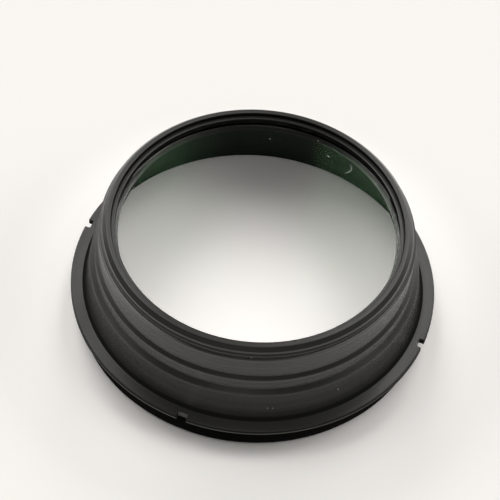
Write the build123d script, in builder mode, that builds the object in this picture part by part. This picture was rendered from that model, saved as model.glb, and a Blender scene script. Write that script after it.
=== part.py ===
# Optical lens mount: a turned ring that holds a two inch lens in front of an instrument.
#
# The ring stands on its wide end. There a skirt with a fine outside thread runs up to a flange
# with four spanner notches. Above the flange the outside draws in by a concave flare and three
# stepped bands to a narrow rim with a slanting shoulder. The lens comes in from below, seats under
# a thin lip inside the rim, and a slotted ring screws up behind it.
#
# Frame: millimetres, +Z is the optical axis and points out of the narrow rim. The origin is on
# the axis, in the end face of the skirt that the mount stands on.

import os

from build123d import *

# Driving dimensions of the mount body
height = 22.75
flange_r = 32.5
flange_top_z = 6.35
flange_under_z = 5.1

# Skirt under the flange: the wall is the root of its M62 x 0.75 thread
skirt_r = 30.54
skirt_edge_chamfer = 0.12
skirt_bore_r = 29.2
skirt_bore_top_z = 5.2
skirt_bore_chamfer = 0.2

# Edges of the flange, and the notches that a pin spanner turns the mount by
flange_top_chamfer = 0.15
flange_under_chamfer = 0.12
notch_count = 4
notch_start_angle = 45
notch_width = 1.8
notch_depth = 1.0
notch_corner_r = 0.2

# Concave flare: a small slanting foot on the flange, then a long slow curve up to the bands. The
# pull point is where the directions of the curve's two ends meet.
flare_foot_r = 30.48
flare_bottom_r = 29.92
flare_bottom_z = 6.95
flare_pull_r = 29.44
flare_pull_z = 9.35
flare_top_r = 29.2
flare_top_z = 12.35

# Three stepped bands under the rim, from the widest to the narrowest
low_band_r = 28.4
low_band_bottom_z = 13.15
low_band_top_z = 15.55
mid_band_r = 27.88
mid_band_bottom_z = 16.15
mid_band_top_z = 20.5
top_band_r = 27.51
top_band_bottom_z = 20.62
top_band_top_z = 21.25

# Narrow rim: a slightly tapered wall, a slanting shoulder, a flat land, and a recess in the land
# down to the lip that the lens seats under
rim_r = 27.29
rim_bottom_z = 21.6
shoulder_r = 27.22
shoulder_z = 22.05
land_r = 26.58
recess_r = 25.7
recess_edge_chamfer = 0.12
recess_depth = 0.75
lip_r = 25.0
lip_thickness = 1.0

# Lens, equally curved on both faces
lens_d = 50.8
lens_edge_thickness = 2.5
lens_curve_r = 181.0
lens_bevel = 0.2
seat_clearance = 0.05

# Retaining ring behind the lens, and the threaded bore that it runs in
ring_thread_r = 26.0
ring_clearance = 0.03
ring_bore_r = 24.3
ring_height = 2.0
ring_chamfer = 0.25
ring_slot_width = 1.6
ring_slot_depth = 0.9
seat_to_ring_gap = 0.1
ring_thread_bottom_z = 15.5
ring_thread_lead_in = 1.0


def face_drop(r):
    """How far a lens face has curved away from its middle at radius r."""
    return lens_curve_r - (lens_curve_r**2 - r**2) ** 0.5


# Heights and radii that follow from the dimensions above
lip_top_z = height - recess_depth
lip_under_z = lip_top_z - lip_thickness
lens_r = lens_d / 2
lens_top_z = lip_under_z + face_drop(lip_r)
lens_edge_top_z = lens_top_z - face_drop(lens_r)
lens_edge_bottom_z = lens_edge_top_z - lens_edge_thickness
lens_bottom_z = lens_edge_bottom_z - face_drop(lens_r)
bevel_r = lens_r - lens_bevel
bevel_top_z = lens_top_z - face_drop(bevel_r)
bevel_bottom_z = lens_bottom_z + face_drop(bevel_r)
seat_r = lens_r + seat_clearance
ring_top_z = lens_bottom_z + face_drop(ring_bore_r)
ring_bottom_z = ring_top_z - ring_height
seat_bottom_z = ring_top_z + seat_to_ring_gap
body_bore_r = ring_thread_r + ring_thread_lead_in
bore_cone_top_z = skirt_bore_top_z + skirt_bore_r - body_bore_r

# Mount body: one turned section, spun about the optical axis, then four milled notches
with BuildPart() as mount_body:
    with BuildSketch(Plane.XZ) as body_section:
        with BuildLine():
            Polyline(
                (skirt_bore_r + skirt_bore_chamfer, 0),
                (skirt_r - skirt_edge_chamfer, 0),
                (skirt_r, skirt_edge_chamfer),
                (skirt_r, flange_under_z),
                (flange_r - flange_under_chamfer, flange_under_z),
                (flange_r, flange_under_z + flange_under_chamfer),
                (flange_r, flange_top_z - flange_top_chamfer),
                (flange_r - flange_top_chamfer, flange_top_z),
                (flare_foot_r, flange_top_z),
                (flare_bottom_r, flare_bottom_z),
            )
            Bezier(
                (flare_bottom_r, flare_bottom_z),
                (flare_pull_r, flare_pull_z),
                (flare_top_r, flare_top_z),
            )
            Polyline(
                (flare_top_r, flare_top_z),
                (low_band_r, low_band_bottom_z),
                (low_band_r, low_band_top_z),
                (mid_band_r, mid_band_bottom_z),
                (mid_band_r, mid_band_top_z),
                (top_band_r, top_band_bottom_z),
                (top_band_r, top_band_top_z),
                (rim_r, rim_bottom_z),
                (shoulder_r, shoulder_z),
                (land_r, height),
                (recess_r + recess_edge_chamfer, height),
                (recess_r, height - recess_edge_chamfer),
                (recess_r, lip_top_z),
                (lip_r, lip_top_z),
                (lip_r, lip_under_z),
                (seat_r, lip_under_z),
                (seat_r, seat_bottom_z),
                (ring_thread_r, seat_bottom_z),
                (ring_thread_r, ring_thread_bottom_z),
                (body_bore_r, ring_thread_bottom_z - ring_thread_lead_in),
                (body_bore_r, bore_cone_top_z),
                (skirt_bore_r, skirt_bore_top_z),
                (skirt_bore_r, skirt_bore_chamfer),
                (skirt_bore_r + skirt_bore_chamfer, 0),
            )
        make_face()
    revolve(axis=Axis.Z)
    with BuildSketch(Plane.XY.offset(flange_under_z)):
        with PolarLocations(flange_r, notch_count, start_angle=notch_start_angle):
            RectangleRounded(2 * notch_depth, notch_width, notch_corner_r)
    extrude(amount=flange_top_z - flange_under_z, mode=Mode.SUBTRACT)

# Lens: two spherical faces, a ground cylindrical edge and a small bevel at each face
with BuildPart() as lens:
    with BuildSketch(Plane.XZ) as lens_section:
        with BuildLine():
            Line((0, lens_bottom_z), (0, lens_top_z))
            RadiusArc((0, lens_top_z), (bevel_r, bevel_top_z), lens_curve_r)
            Polyline(
                (bevel_r, bevel_top_z),
                (lens_r, bevel_top_z - lens_bevel),
                (lens_r, bevel_bottom_z + lens_bevel),
                (bevel_r, bevel_bottom_z),
            )
            RadiusArc((bevel_r, bevel_bottom_z), (0, lens_bottom_z), lens_curve_r)
        make_face()
    revolve(axis=Axis.Z)

# Retaining ring: a short threaded sleeve with two spanner slots across its lower face
with BuildPart() as retaining_ring:
    with BuildSketch(Plane.XY.offset(ring_bottom_z)):
        Circle(ring_thread_r - ring_clearance)
        Circle(ring_bore_r, mode=Mode.SUBTRACT)
    extrude(amount=ring_height)
    outer_edges = retaining_ring.edges().filter_by(GeomType.CIRCLE).group_by(SortBy.RADIUS)[-1]
    chamfer(outer_edges, length=ring_chamfer)
    with BuildSketch(Plane.XY.offset(ring_bottom_z)):
        Rectangle(2 * ring_thread_r, ring_slot_width)
    extrude(amount=ring_slot_depth, mode=Mode.SUBTRACT)

os.makedirs("parts", exist_ok=True)

mount_body.part.label = "mount_body"
export_step(mount_body.part, "parts/mount_body.step")

lens.part.label = "lens"
export_step(lens.part, "parts/lens.step")

retaining_ring.part.label = "retaining_ring"
export_step(retaining_ring.part, "parts/retaining_ring.step")

print("height", height, "flange diameter", 2 * flange_r)
print("lens from", round(lens_bottom_z, 3), "to", round(lens_top_z, 3))
print("retaining ring from", round(ring_bottom_z, 3), "to", round(ring_top_z, 3))
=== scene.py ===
# %% [markdown]
# # An optical lens mount, dressed in Blender
# The part is a black turned ring, 65 mm across, that holds a two inch lens under its rim. Its
# solids are already modelled, at their real size. This lesson adds what a solid model leaves
# out: the fine thread on the skirt, the finish of the turned and anodised metal, the coated
# glass, and the little dust that lies on it. Then it lays the floor, sets the camera and lights
# the part.

# %% Load the packed model
import random
from math import cos, pi, radians, sin

import bmesh
import bpy
from mathutils import Matrix, Vector


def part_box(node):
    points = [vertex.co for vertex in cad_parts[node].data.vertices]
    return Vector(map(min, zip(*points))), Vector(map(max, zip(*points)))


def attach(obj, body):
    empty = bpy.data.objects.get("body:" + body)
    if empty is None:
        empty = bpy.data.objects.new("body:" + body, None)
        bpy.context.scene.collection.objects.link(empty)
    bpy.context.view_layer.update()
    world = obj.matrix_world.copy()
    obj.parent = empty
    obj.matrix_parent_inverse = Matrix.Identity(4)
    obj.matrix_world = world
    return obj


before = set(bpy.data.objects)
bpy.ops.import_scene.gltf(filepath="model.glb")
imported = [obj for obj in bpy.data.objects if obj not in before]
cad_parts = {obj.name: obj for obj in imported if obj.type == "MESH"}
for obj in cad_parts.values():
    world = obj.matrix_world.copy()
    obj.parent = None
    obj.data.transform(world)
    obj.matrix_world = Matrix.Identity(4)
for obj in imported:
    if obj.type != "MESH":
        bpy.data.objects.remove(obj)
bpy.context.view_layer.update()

MM = 0.001
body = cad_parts["mount_body"]
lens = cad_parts["lens"]
retaining_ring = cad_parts["retaining_ring"]
print("solids:", sorted(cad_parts))

# %% [markdown]
# ## Sizes that come from the solids
# The finish changes from one part of the ring to the next, so it has to know where the flange
# ends and how high the rim stands. Both could be typed in again, but two copies of a size drift
# apart. A small helper reads them from a solid's box instead. A box says nothing of what lies
# between its walls, so the places further in are written in the cells that use them.

# %% How far the ring reaches


def reach(node):
    """How far a solid reaches from the axis, and how high, in millimetres."""
    _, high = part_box(node)
    return high[0] / MM, high[2] / MM


flange_r, rim_top = reach("mount_body")
print(f"flange radius {flange_r:.2f} mm, rim at {rim_top:.2f} mm")

# %% [markdown]
# ## Shader maths as plain expressions
# A finish is a small program: it takes a place on the surface and works out how dark, rough
# or grooved it is there. The nodes could be added and linked one by one, but then the formula
# is lost among the links. Here one class wraps an output socket, and the usual operators add
# the Math nodes. Any other node comes from the method `node` of the class under it.

# %% A wrapped socket


class Wire:
    """An output socket of a shader tree. Arithmetic on it adds Math nodes."""

    def __init__(self, tree, socket):
        self.tree = tree
        self.socket = socket

    def also(self, name):
        """Another output of the same node."""
        return Wire(self.tree, self.socket.node.outputs[name])

    def math(self, operation, *values):
        sockets = dict(enumerate(values))
        return self.tree.node("ShaderNodeMath", {"operation": operation}, sockets)

    def __add__(self, other):
        return self.math("ADD", self, other)

    def __sub__(self, other):
        return self.math("SUBTRACT", self, other)

    def __rsub__(self, other):
        return self.math("SUBTRACT", other, self)

    def __mul__(self, other):
        return self.math("MULTIPLY", self, other)

    def __truediv__(self, other):
        return self.math("DIVIDE", self, other)

    def __pow__(self, other):
        return self.math("POWER", self, other)

    def __abs__(self):
        return self.math("ABSOLUTE", self)

    def larger(self, other):
        return self.math("MAXIMUM", self, other)

    __radd__ = __add__
    __rmul__ = __mul__


print("a wrapped socket knows:", [name for name in vars(Wire) if callable(vars(Wire)[name])])

# %% The tree that the sockets belong to

GIVES_A_NUMBER = ("DOT_PRODUCT", "LENGTH")
MIX_FIRST, MIX_SECOND, MIX_RESULT = 6, 7, 2


class ShaderTree:
    """The node tree of a material or of the world."""

    def __init__(self, owner):
        owner.use_nodes = True
        self.nodes = owner.node_tree.nodes
        self.links = owner.node_tree.links
        self.nodes.clear()

    def node(self, kind, settings=None, sockets=None):
        """Adds a node: its settings first, then the value or link of each socket."""
        made = self.nodes.new(kind)
        for name, value in (settings or {}).items():
            setattr(made, name, value)
        for name, value in (sockets or {}).items():
            if isinstance(value, Wire):
                self.links.new(value.socket, made.inputs[name])
            else:
                made.inputs[name].default_value = value
        return Wire(self, made.outputs[0]) if len(made.outputs) else None

    def vector(self, operation, *values):
        """Vector Math, which gives a vector or, for a few operations, a number."""
        sockets = dict(enumerate(values))
        made = self.node("ShaderNodeVectorMath", {"operation": operation}, sockets)
        return made.also("Value") if operation in GIVES_A_NUMBER else made

    def colour(self, share, first, second):
        """The first colour, and the second where the share is 1. A Mix node has a set of
        sockets for each type of data, so those for colours go by their numbers."""
        sockets = {"Factor": share, MIX_FIRST: first, MIX_SECOND: second}
        return self.node("ShaderNodeMix", {"data_type": "RGBA"}, sockets).also(MIX_RESULT)

    def shader(self, share, first, second):
        """The first shader, and the second where the share is 1."""
        return self.node("ShaderNodeMixShader", None, {0: share, 1: first, 2: second})

    def between(self, wire, low, high):
        """0 below low, 1 above high, and smooth in between."""
        settings = {"interpolation_type": "SMOOTHSTEP"}
        return self.node("ShaderNodeMapRange", settings, {0: wire, 1: low, 2: high})

    def within(self, wire, rise, fall):
        """0 at first, 1 from the end of the rise to the start of the fall, and 0 after it."""
        return self.between(wire, *rise) * (1 - self.between(wire, *fall))


def new_material(name):
    material = bpy.data.materials.new(name)
    return material, ShaderTree(material)


print("a tree can add:", [name for name in vars(ShaderTree) if not name.startswith("__")])

# %% [markdown]
# ## Black anodised aluminium, fresh from the lathe
# The ring is turned, then anodised black. The dye makes it almost black all the way in, so
# nearly all of what the eye sees is a reflection in the clear oxide on top, as in dark glass.
# A cutting tool leaves a fine spiral of marks. They tilt the surface to and fro across the
# marks but not along them, and that spreads each reflection into a fan. Seen from the front,
# a flat ring therefore looks light at its left and right and dark at its front and back.
#
# Anisotropic roughness would give the same fan, but it depends on a tangent, which is lost
# when the look is baked. Real grooves as bump are kept. They run round the axis, so their
# height depends only on the radius and on the height above the bench. The tool left deeper
# marks on the curved flare than on the straight bands, and finer ones still on the flange.

# %% Lathe marks

MARKS_PER_MM = 14.0
FLARE_COARSER = 2.5
BANDS_COARSER = 0.6
FLARE_Z = ((6.4, 6.9), (12.2, 12.6))
BANDS_Z = ((12.2, 12.6), (rim_top - 1.75, rim_top - 1.35))


def place_on_ring(tree):
    """The place on the part, then its distance from the axis and its height in millimetres."""
    place = tree.node("ShaderNodeTexCoord").also("Object")
    split = tree.node("ShaderNodeSeparateXYZ", None, {"Vector": place})
    x, y, z = split.also("X"), split.also("Y"), split.also("Z")
    return place, (x * x + y * y) ** 0.5 / MM, z / MM


def lathe_marks(tree, radius_mm, z_mm):
    """Height of the marks: a noise from 0 to 1 that is made stronger where they are coarser."""
    across = tree.node("ShaderNodeCombineXYZ", None, {"X": radius_mm, "Y": z_mm})
    noise = {"Vector": across, "Scale": MARKS_PER_MM, "Detail": 2.0, "Roughness": 0.6}
    marks = tree.node("ShaderNodeTexNoise", {"noise_dimensions": "2D"}, noise)
    flare, bands = tree.within(z_mm, *FLARE_Z), tree.within(z_mm, *BANDS_Z)
    return marks * (1 + FLARE_COARSER * flare + BANDS_COARSER * bands)


print("marks to the mm:", MARKS_PER_MM, "- on the flare,", 1 + FLARE_COARSER, "times as high")

# %% [markdown]
# ## Where the ring is matt, and where shade and a reflection are painted
# A lens mount must not throw light back into the picture, so its inner walls are matt. The
# skirt with its thread, the edge of the flange and the small foot of the flare look just as
# dark, and are made with the same surface; its darker colour is painted shade there, under the
# flange and in the crease at the foot. The flare has a part of it, which darkens it as painted
# shade. The lower edge of the flange and the backs of the notches are painted a dull grey, a
# painted reflection of the white floor that those walls catch.
#
# Each could be a material of its own, given to chosen faces, but then each would end in a hard
# line. Here a share from 0 to 1 is worked out for every place, and it fades over a fraction of
# a millimetre. An inner wall is found by the way it faces: its normal points at the axis.

# %% Shares of matt surface, painted shade and painted reflection

FACES_THE_AXIS = (-0.45, -0.25)
# Painted shade: the matt colour below the flange top, at the flare's foot and partly on the
# flare.
SHADE_UNDER_THE_TOP = (6.1, 6.25)
FLARE_SHADE_Z = ((6.5, 7.5), (11.5, 12.5))
FLARE_MATT_AND_SHADE = 0.35
FOOT_SHADE_R = (30.4, 30.5)
FOOT_SHADE_Z = ((6.2, 6.3), (6.9, 7.0))
# Painted reflection: a dull grey on the flange's lower edge and on the backs of the notches.
REFLECTING_EDGE_R = (flange_r - 0.2, flange_r - 0.15)
REFLECTING_EDGE_Z = ((5.34, 5.42), (5.6, 5.68))
NOTCH_REFLECTION_R = ((31.3, 31.4), (31.6, 31.7))
NOTCH_REFLECTION_Z = ((5.2, 5.3), (6.2, 6.3))
FLATTENED = (1, 1, 0)


def matt_and_shade_share(tree, place, radius_mm, z_mm):
    """1 on matt inner walls; painted shade below the flange top and at the flare's foot."""
    facing = tree.node("ShaderNodeNewGeometry").also("True Normal")
    outward = tree.vector("NORMALIZE", tree.vector("MULTIPLY", place, FLATTENED))
    lean = tree.vector("DOT_PRODUCT", facing, outward)
    inward = 1 - tree.between(lean, *FACES_THE_AXIS)
    # The darker matt colour below the top, at the foot and on part of the flare is painted shade.
    low = 1 - tree.between(z_mm, *SHADE_UNDER_THE_TOP)
    foot = (1 - tree.between(radius_mm, *FOOT_SHADE_R)) * tree.within(z_mm, *FOOT_SHADE_Z)
    flare = tree.within(z_mm, *FLARE_SHADE_Z) * FLARE_MATT_AND_SHADE
    return inward.larger(low).larger(foot).larger(flare)


def painted_reflection_share(tree, radius_mm, z_mm):
    """A painted reflection: 1 along the flange's lower edge and at the backs of its notches."""
    edge = tree.between(radius_mm, *REFLECTING_EDGE_R) * tree.within(z_mm, *REFLECTING_EDGE_Z)
    notch = tree.within(radius_mm, *NOTCH_REFLECTION_R) * tree.within(z_mm, *NOTCH_REFLECTION_Z)
    return edge.larger(notch)


# The grey on that edge is a painted reflection of the white floor.
print(f"the flange is worn from a radius of {REFLECTING_EDGE_R[1]:.2f} mm outwards")

# %% [markdown]
# ## The two surfaces in one material
# The outside is a smooth oxide skin over the lathe marks, a little cloudy from the dye bath.
# The matt surface is rough and hardly mirrors. One shader with a varying mirror strength could
# be both, but the export can't bake what varies there, so two shaders are mixed by the share
# from the step before. A real edge is broken by a hair's breadth and catches the light. The
# Bevel node does that in the shading alone, so that the solid keeps its mesh.

# %% The finish of the turned metal

OXIDE_IOR = 1.5
BLACK_DYE = (0.025, 0.0246, 0.0228, 1.0)
# The matt colour, also the painted shade below the flange top, at the foot and on the flare.
MATT_DYE_AND_SHADE = (0.0085, 0.0085, 0.0078, 1.0)
# A painted reflection of the white floor, on the flange's lower edge and the notches' backs.
PAINTED_REFLECTION_GREY = (0.115, 0.115, 0.11, 1.0)
MARK_HEIGHT_MM = 0.011
EDGE_BREAK_MM = 0.05
OUTSIDE_ROUGHNESS = 0.15
CLOUDINESS = 0.08
CLOUDS_PER_M = 90.0
NOISE_MIDDLE = 0.5
MATT_ROUGHNESS = 0.7
MATT_SPECULAR = 0.05


def black_anodised(name):
    """A dyed oxide skin on turned metal; matt, painted shade and painted reflection in places."""
    material, tree = new_material(name)
    place, radius_mm, z_mm = place_on_ring(tree)
    clouds = {"Vector": place, "Scale": CLOUDS_PER_M, "Detail": 3.0}
    cloudy = tree.node("ShaderNodeTexNoise", None, clouds)
    edge = tree.node("ShaderNodeBevel", {"samples": 4}, {"Radius": EDGE_BREAK_MM * MM})
    grooves = {
        "Strength": 1.0,
        "Distance": MARK_HEIGHT_MM * MM,
        "Height": lathe_marks(tree, radius_mm, z_mm),
        "Normal": edge,
    }
    skin = {
        "Base Color": BLACK_DYE,
        "Roughness": OUTSIDE_ROUGHNESS + CLOUDINESS * (cloudy - NOISE_MIDDLE),
        "IOR": OXIDE_IOR,
        "Normal": tree.node("ShaderNodeBump", None, grooves),
    }
    matt = {
        # Painted shade below the flange top and at the foot; the grey is a painted reflection.
        "Base Color": tree.colour(painted_reflection_share(tree, radius_mm, z_mm), MATT_DYE_AND_SHADE, PAINTED_REFLECTION_GREY),
        "Roughness": MATT_ROUGHNESS,
        "IOR": OXIDE_IOR,
        "Specular IOR Level": MATT_SPECULAR,
        "Normal": edge,
    }
    smooth_part = tree.node("ShaderNodeBsdfPrincipled", None, skin)
    matt_part = tree.node("ShaderNodeBsdfPrincipled", None, matt)
    share = matt_and_shade_share(tree, place, radius_mm, z_mm)
    surface = tree.shader(share, smooth_part, matt_part)
    tree.node("ShaderNodeOutputMaterial", None, {"Surface": surface})
    return material


turned_black = black_anodised("turned_black")
print(turned_black.name, "has", len(turned_black.node_tree.nodes), "nodes")

# %% [markdown]
# ## Coated glass
# Bare glass mirrors about one part in twenty of what lies in front of it. A lens for use has a
# coating that takes most of that away and leaves a faint green. A glass shader can't be told
# so, because it ties its mirror to its bending. So the two are built apart: a shader that only
# bends light, and one that only mirrors it in green, mixed by the glass's own Fresnel curve,
# turned down to what the coating leaves.
#
# A ray from a lamp can't find its way through two bent surfaces, so the glass would throw a
# shadow like a coin. For those rays alone the glass counts as clear.

# %% The finish of the lens

GLASS_IOR = 1.517
COATING_LEAVES = 0.07
COATING_GREEN = (0.50, 1.0, 0.52, 1.0)


def coated_glass(name):
    """Glass that bends what is behind it, with a weak green mirror on each face."""
    material, tree = new_material(name)
    bent = tree.node("ShaderNodeBsdfRefraction", None, {"Roughness": 0.0, "IOR": GLASS_IOR})
    mirrored = tree.node("ShaderNodeBsdfGlossy", None, {"Color": COATING_GREEN, "Roughness": 0.0})
    bare_mirror = tree.node("ShaderNodeFresnel", None, {"IOR": GLASS_IOR})
    glass = tree.shader(bare_mirror * COATING_LEAVES, bent, mirrored)
    ray = tree.node("ShaderNodeLightPath")
    lighting = ray.also("Is Shadow Ray").larger(ray.also("Is Diffuse Ray"))
    clear = tree.node("ShaderNodeBsdfTransparent")
    surface = tree.shader(lighting, glass, clear)
    tree.node("ShaderNodeOutputMaterial", None, {"Surface": surface})
    return material


lens_glass = coated_glass("lens_glass")
head_on = COATING_LEAVES * ((GLASS_IOR - 1) / (GLASS_IOR + 1)) ** 2
print(f"{lens_glass.name} mirrors {head_on:.2%} head on")

# %% [markdown]
# ## Putting the finishes on the solids
# Each solid comes with one material slot, named in the record. Its shape is right as it is, so
# it keeps its mesh and only gets a better material. The finish works out for itself where it
# is matt, where it has painted shade and where it has a painted reflection, so the body and
# the ring behind the lens can share it.

# %% Dress the three solids


def dress(piece, material):
    """Replaces the plain material of a piece."""
    piece.data.materials.clear()
    piece.data.materials.append(material)


dress(body, turned_black)
dress(retaining_ring, turned_black)
dress(lens, lens_glass)
for piece in (body, retaining_ring, lens):
    print(piece.name, len(piece.data.polygons), "faces")

# %% [markdown]
# ## The thread on the skirt
# The skirt screws into an instrument by an M62 x 0.75 thread. In the solid model its wall is
# the bottom of the thread. A screw modifier could spin a section into a spiral, but its ends
# would be cut off blunt. Here the ridge is swept section by section: a flat-topped V follows
# the helix, and grows out of the wall over the first part of a turn and sinks back over the
# last. Its foot lies a little inside the wall, so that no gap shows. Lengths are in
# millimetres, and the widths of the ridge are parts of the pitch.

# %% A helical ridge on the skirt

THREAD_PITCH = 0.75
THREAD_CREST_R = 31.0
THREAD_ROOT_R = 30.54
THREAD_LOWEST = 0.42
THREAD_HIGHEST = 3.95
STEPS_PER_TURN = 180
RUN_IN_TURNS = 0.12
RIDGE_SUNK = 0.06
RIDGE_HALF_FOOT = 0.47
RIDGE_HALF_CREST = 0.07
RIDGE_LEAST_GROWTH = 0.02
RIDGE_CORNERS = 4


def add_piece(name, mesh, material):
    """Puts a mesh in the scene as a piece of its own."""
    piece = bpy.data.objects.new(name, mesh)
    bpy.context.collection.objects.link(piece)
    dress(piece, material)
    return piece


def ridge_section(turn, turns):
    """The four corners of the ridge where it has run for so many turns."""
    from_end = min(turn, turns - turn) / RUN_IN_TURNS
    growth = max(RIDGE_LEAST_GROWTH, min(1.0, from_end))
    top_r = THREAD_ROOT_R + (THREAD_CREST_R - THREAD_ROOT_R) * growth
    sunk_r = THREAD_ROOT_R - RIDGE_SUNK
    foot, crest = RIDGE_HALF_FOOT * THREAD_PITCH, RIDGE_HALF_CREST * THREAD_PITCH
    z = THREAD_LOWEST + THREAD_PITCH * turn
    c, s = cos(2 * pi * turn), sin(2 * pi * turn)
    corners = ((sunk_r, -foot), (top_r, -crest), (top_r, crest), (sunk_r, foot))
    return [(r * c * MM, r * s * MM, (z + dz) * MM) for r, dz in corners]


def thread_ridge(name):
    """The ridge of the thread, wound up the skirt as one closed mesh."""
    turns = (THREAD_HIGHEST - THREAD_LOWEST) / THREAD_PITCH
    count = round(turns * STEPS_PER_TURN)
    verts, faces = [], []
    for i in range(count + 1):
        verts.extend(ridge_section(i / STEPS_PER_TURN, turns))
    for i in range(count):
        a, b = RIDGE_CORNERS * i, RIDGE_CORNERS * (i + 1)
        for j in range(RIDGE_CORNERS):
            k = (j + 1) % RIDGE_CORNERS
            faces.append((a + j, b + j, b + k, a + k))
    first_end = range(RIDGE_CORNERS)
    last_end = [RIDGE_CORNERS * count + corner for corner in reversed(first_end)]
    faces.append(tuple(first_end))
    faces.append(tuple(last_end))
    mesh = bpy.data.meshes.new(name)
    mesh.from_pydata(verts, [], faces)
    mesh.update()
    return mesh


skirt_thread = add_piece("skirt_thread", thread_ridge("skirt_thread"), turned_black)
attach(skirt_thread, "root")
print("thread:", len(skirt_thread.data.polygons), "faces")

# %% [markdown]
# ## A little dust
# A few bright flecks and one short fibre lie on the glass, and a few flecks on the metal. They
# could be spots in a material, but a spot has no height and stays flat in a raking light. Here
# each fleck is a small lumpy flake. Its place is given roughly, and the nearest point of the
# solid seats it, so nothing hovers. The lumps are random, from a seed that makes them come out
# the same each time.

# %% The grey of the dust

DUST_GREY = (0.66, 0.66, 0.63, 1.0)
DUST_PALE = (0.9, 0.9, 0.87, 1.0)
DUST_GRAIN = 9000.0
DUST_ROUGHNESS = 0.9

dust_grey, dust_tree = new_material("dust_grey")
patchy = dust_tree.node("ShaderNodeTexNoise", None, {"Scale": DUST_GRAIN})
tone = dust_tree.colour(patchy, DUST_GREY, DUST_PALE)
powder_look = {"Base Color": tone, "Roughness": DUST_ROUGHNESS}
powder = dust_tree.node("ShaderNodeBsdfPrincipled", None, powder_look)
dust_tree.node("ShaderNodeOutputMaterial", None, {"Surface": powder})
print(dust_grey.name, "has", len(dust_tree.nodes), "nodes")

# %% Flakes that settle on a solid

DUST_SEED = 5
FLAKE_LUMPS = 0.5
FLAKE_NARROWER = 0.7
FLAKE_FLATTER = 0.35


def settled(solid, place_mm):
    """The point of a solid nearest to a place, and the way that it faces there."""
    _, point, facing, _ = solid.closest_point_on_mesh(Vector(place_mm) * MM)
    return point, facing


def add_flake(bm, point, facing, width_mm, rng):
    """A lumpy flake that lies on a surface."""
    verts = bmesh.ops.create_icosphere(bm, subdivisions=1, radius=0.5 * width_mm * MM)["verts"]
    for vert in verts:
        vert.co *= 1 + FLAKE_LUMPS * (rng.random() - 0.5)
    flat = Matrix.Diagonal((1, FLAKE_NARROWER, FLAKE_FLATTER, 1))
    spin = Matrix.Rotation(rng.uniform(0, pi), 4, "Z")
    lie = facing.to_track_quat("Z", "X").to_matrix().to_4x4()
    matrix = Matrix.Translation(point) @ lie @ spin @ flat
    bmesh.ops.transform(bm, matrix=matrix, verts=verts)


on_top, top_facing = settled(lens, (0, 0, rim_top))
print(f"a fleck dropped on the axis settles at {on_top.z / MM:.2f} mm, facing {top_facing.z:.1f}")

# %% A fibre that lies along a solid

FIBRE_WIDTH_MM = 0.07
FIBRE_STEPS = 14
FIBRE_SIDES = 6
FIBRE_TIP = 0.25
FIBRE_TAPER = 0.3


def fibre_swell(t):
    """How full the fibre is at a part of its length: thin at both tips."""
    return max(FIBRE_TIP, sin(pi * t) ** FIBRE_TAPER if 0 < t < 1 else 0)


def add_fibre(bm, solid, ends_and_bend):
    """A short hair that lies along a surface, bent through its middle place."""
    start, bend, end = (Vector(place) for place in ends_and_bend)
    rings = []
    for i in range(FIBRE_STEPS + 1):
        t = i / FIBRE_STEPS
        place = start * (1 - t) ** 2 + bend * 2 * t * (1 - t) + end * t**2
        along = (bend - start) * (1 - t) + (end - bend) * t
        point, facing = settled(solid, place)
        side = facing.cross(along).normalized()
        half = 0.5 * FIBRE_WIDTH_MM * MM * fibre_swell(t)
        middle = point + facing * half
        ring = []
        for j in range(FIBRE_SIDES):
            turn = 2 * pi * j / FIBRE_SIDES
            ring.append(bm.verts.new(middle + half * (cos(turn) * side + sin(turn) * facing)))
        rings.append(ring)
    for first, second in zip(rings, rings[1:]):
        for j in range(FIBRE_SIDES):
            k = (j + 1) % FIBRE_SIDES
            bm.faces.new((first[j], first[k], second[k], second[j]))
    bm.faces.new(list(reversed(rings[0])))
    bm.faces.new(rings[-1])


print("a fibre has", FIBRE_STEPS * FIBRE_SIDES + 2, "faces")

# %% Dust on the glass and on the metal

GLASS_FLAKES = (
    ((10.0, 18.4, 21.5), 0.20),
    ((18.1, 15.3, 21.2), 0.19),
    ((18.3, 11.1, 21.5), 0.30),
    ((18.0, 11.4, 21.5), 0.18),
    ((23.8, 2.6, 21.1), 0.30),
)
GLASS_FIBRE = ((21.2, 8.2, 21.3), (21.3, 6.2, 21.3), (19.3, 6.5, 21.5))
METAL_FLAKES = (
    ((3.63, -29.17, 10.0), 0.20),
    ((-9.08, -28.1, 9.1), 0.14),
    ((-8.24, -28.36, 9.0), 0.15),
    ((-11.58, -24.95, 20.8), 0.14),
)


def dust(name, solid, flakes, fibre=None):
    """Flakes, given by place and width in millimetres, and perhaps a fibre, as one piece."""
    bm = bmesh.new()
    rng = random.Random(DUST_SEED)
    for place, width_mm in flakes:
        point, facing = settled(solid, place)
        add_flake(bm, point, facing, width_mm, rng)
    if fibre:
        add_fibre(bm, solid, fibre)
    bmesh.ops.recalc_face_normals(bm, faces=bm.faces)
    mesh = bpy.data.meshes.new(name)
    bm.to_mesh(mesh)
    bm.free()
    piece = add_piece(name, mesh, dust_grey)
    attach(piece, "root")
    print(name, len(mesh.polygons), "faces")


dust("dust_on_glass", lens, GLASS_FLAKES, GLASS_FIBRE)
dust("dust_on_metal", body, METAL_FLAKES)

# %% [markdown]
# ## The floor
# The part stands on a white sheet with no edge in sight. A curved backdrop could do the same,
# but from above a large flat sheet is enough. Little light reaches the sheet inside the ring,
# which comes out darker than it should. Stronger lights would bleach everything else, so near
# the axis a second diffuse shader is added, for the rays that look at the sheet and not for
# those that light the part. It is a correction and not how paper works: it is at full strength
# up to one distance from the axis and gone at another, and the part's shadow stays.

# %% A white sheet under the part

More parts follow.
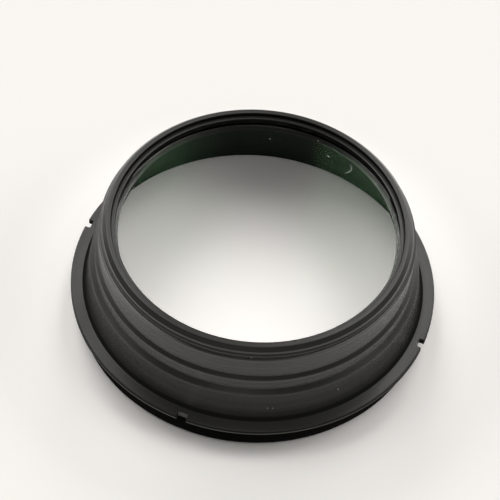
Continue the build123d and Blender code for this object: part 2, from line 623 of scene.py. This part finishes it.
FLOOR_WHITE = (0.87, 0.852, 0.846, 1.0)
FLOOR_HALF_M = 1.5
FLOOR_LIFT = (0.46, 0.45, 0.448, 1.0)
LIFT_FULL_TO = 22 * MM
LIFT_NONE_FROM = 48 * MM


def white_paper():
    """White, and lifted near the axis for rays that look at it."""
    material, tree = new_material("white_paper")
    paper = tree.node("ShaderNodeBsdfDiffuse", None, {"Color": FLOOR_WHITE})
    lift = tree.node("ShaderNodeBsdfDiffuse", None, {"Color": FLOOR_LIFT})
    lifted = tree.node("ShaderNodeAddShader", None, {0: paper, 1: lift})
    ray = tree.node("ShaderNodeLightPath")
    seen = ray.also("Is Camera Ray").larger(ray.also("Is Glossy Ray"))
    seen = seen.larger(ray.also("Is Transmission Ray"))
    from_axis = tree.vector("LENGTH", tree.node("ShaderNodeTexCoord").also("Object"))
    near = 1 - tree.between(from_axis, LIFT_FULL_TO, LIFT_NONE_FROM)
    surface = tree.shader(seen * near, paper, lifted)
    tree.node("ShaderNodeOutputMaterial", None, {"Surface": surface})
    return material


def white_sheet():
    """A flat sheet under the part, large enough to have no edge in view."""
    mesh = bpy.data.meshes.new("white_sheet")
    h = FLOOR_HALF_M
    mesh.from_pydata([(-h, -h, 0), (h, -h, 0), (h, h, 0), (-h, h, 0)], [], [(0, 1, 2, 3)])
    return add_piece("white_sheet", mesh, white_paper())


floor = white_sheet()
print("floor", 2 * FLOOR_HALF_M, "m wide")

# %% [markdown]
# ## The camera
# The picture is taken from above and from some way off, with a long lens, and it is tilted a
# little. A camera could be aimed by eye with a Track To constraint, but that leaves the tilt
# and the framing to guesswork. Here the camera's three axes are worked out from a heading, an
# elevation and a roll, and it is moved back along them until the ring lies where it should.

# %% A camera from three angles and a distance

HEADING = radians(26.4)
ELEVATION = radians(51.544)
DISTANCE_MM = 588.97
ROLL = radians(5.012)
AIM_RIGHT_MM = 0.196
AIM_UP_MM = 9.716
FRAME_PX = 500
FOCAL_PX = 3269.8
SENSOR_MM = 36.0
CLIP_END_M = 10.0


def turned(vector):
    """A direction seen in the photograph's frame, turned into the part's own frame."""
    return Matrix.Rotation(-HEADING, 3, "Z") @ Vector(vector)


def make_camera():
    """Turns the camera's axes, moves it back along them, and makes it the scene's own."""
    ahead = turned((0, cos(ELEVATION), -sin(ELEVATION)))
    level = turned((1, 0, 0))
    upward = level.cross(ahead)
    right = cos(ROLL) * level + sin(ROLL) * upward
    up = cos(ROLL) * upward - sin(ROLL) * level
    place = -(ahead * DISTANCE_MM + right * AIM_RIGHT_MM - up * AIM_UP_MM) * MM
    camera = bpy.data.objects.new("camera", bpy.data.cameras.new("camera"))
    bpy.context.collection.objects.link(camera)
    camera.data.sensor_width = SENSOR_MM
    camera.data.lens = SENSOR_MM * FOCAL_PX / FRAME_PX
    camera.data.clip_end = CLIP_END_M
    rotation = Matrix((right, up, -ahead)).transposed().to_4x4()
    camera.matrix_world = Matrix.Translation(place) @ rotation
    bpy.context.scene.camera = camera
    return camera


camera = make_camera()
print("camera lens", round(camera.data.lens, 1), "mm at", camera.location)

# %% [markdown]
# ## The sky
# Black metal shows little of its own colour, so most of its look is what it mirrors. In a photo
# studio that is a few soft lights, the pale wall behind and the dim room in front. Area lamps
# could stand for them, but each would end in a hard edge. Here the world is worked out for
# every direction: six soft round lights that fade out smoothly, and a pale back that turns into
# a dim front. One dark gap runs straight behind, up to the zenith, and parts the light in two.
# It draws the dark wedges at the front and back of the flat rings, and it keeps the green of
# the coating to the left and right of the lens.
#
# Each light has a direction in the photograph's frame, a strength, and the angles from its
# middle, in degrees, at which it stops being full and at which it has faded out. The camera
# itself sees a plain white in place of this sky.

# %% The studio as a world

SOFT_LIGHTS = {
    "right": ((1.0, 0.05, 1.0), 2.0, 10, 28),
    "left": ((-1.0, 0.14, 1.0), 1.9, 10, 28),
    "high right": ((0.42, 0.24, 1.0), 2.4, 5, 15),
    "high left": ((-0.42, 0.24, 1.0), 2.4, 5, 15),
    "behind": ((-0.06, 0.66, 0.75), 4.1, 16, 32),
    "front": ((0.0, -0.50, 0.87), 1.1, 6, 22),
}
BEHIND_LIGHT_TOP = (0.86, 0.93)
BACK_LEVEL = 0.35
FRONT_LEVEL = 0.08
FRONT_TO_BACK = (-0.1, 0.6)
GAP_LEVEL = 0.35
GAP_MIDDLE = -0.02
GAP_HALF_WIDTH = 0.11
GAP_BLUR = 0.03
GAP_ONLY_BEHIND = (0.0, 0.1)
SKY_TINT = (1.0, 0.99, 0.955, 1.0)


def soft_lights(tree, way, high):
    """The light of all six together, as a number for each direction."""
    total = 0
    for name, (toward, level, full, none) in SOFT_LIGHTS.items():
        nearness = tree.vector("DOT_PRODUCT", way, Vector(toward).normalized())
        light = level * tree.between(nearness, cos(radians(none)), cos(radians(full)))
        if name == "behind":
            light = light * (1 - tree.between(high, *BEHIND_LIGHT_TOP))
        total = total + light
    return total


def studio_sky():
    """Six soft lights in a room with a pale back and a dim front, parted by a dark gap."""
    world = bpy.data.worlds.new("studio_sky")
    bpy.context.scene.world = world
    tree = ShaderTree(world)
    way = tree.node("ShaderNodeTexCoord").also("Generated")
    heading = {"Vector": way, "Angle": HEADING}
    way = tree.node("ShaderNodeVectorRotate", {"rotation_type": "Z_AXIS"}, heading)
    split = tree.node("ShaderNodeSeparateXYZ", None, {"Vector": way})
    right, behind, high = split.also("X"), split.also("Y"), split.also("Z")
    room = FRONT_LEVEL + (BACK_LEVEL - FRONT_LEVEL) * tree.between(behind, *FRONT_TO_BACK)
    strength = room + soft_lights(tree, way, high)
    inner, outer = GAP_HALF_WIDTH - GAP_BLUR / 2, GAP_HALF_WIDTH + GAP_BLUR / 2
    gap = 1 - tree.between(abs(right - GAP_MIDDLE), inner, outer)
    gap = gap * tree.between(behind, *GAP_ONLY_BEHIND)
    strength = strength + (GAP_LEVEL - strength) * gap
    light = tree.node("ShaderNodeBackground", None, {"Color": SKY_TINT, "Strength": strength})
    plain = tree.node("ShaderNodeBackground", None, {"Strength": 1.0})
    seen = tree.node("ShaderNodeLightPath").also("Is Camera Ray")
    sky = tree.shader(seen, light, plain)
    tree.node("ShaderNodeOutputWorld", None, {"Surface": sky})


studio_sky()
bpy.context.scene.view_settings.view_transform = "Standard"
print("soft lights:", list(SOFT_LIGHTS))

# %% [markdown]
# ## The sizes
# Nothing that was added should reach past the solids.
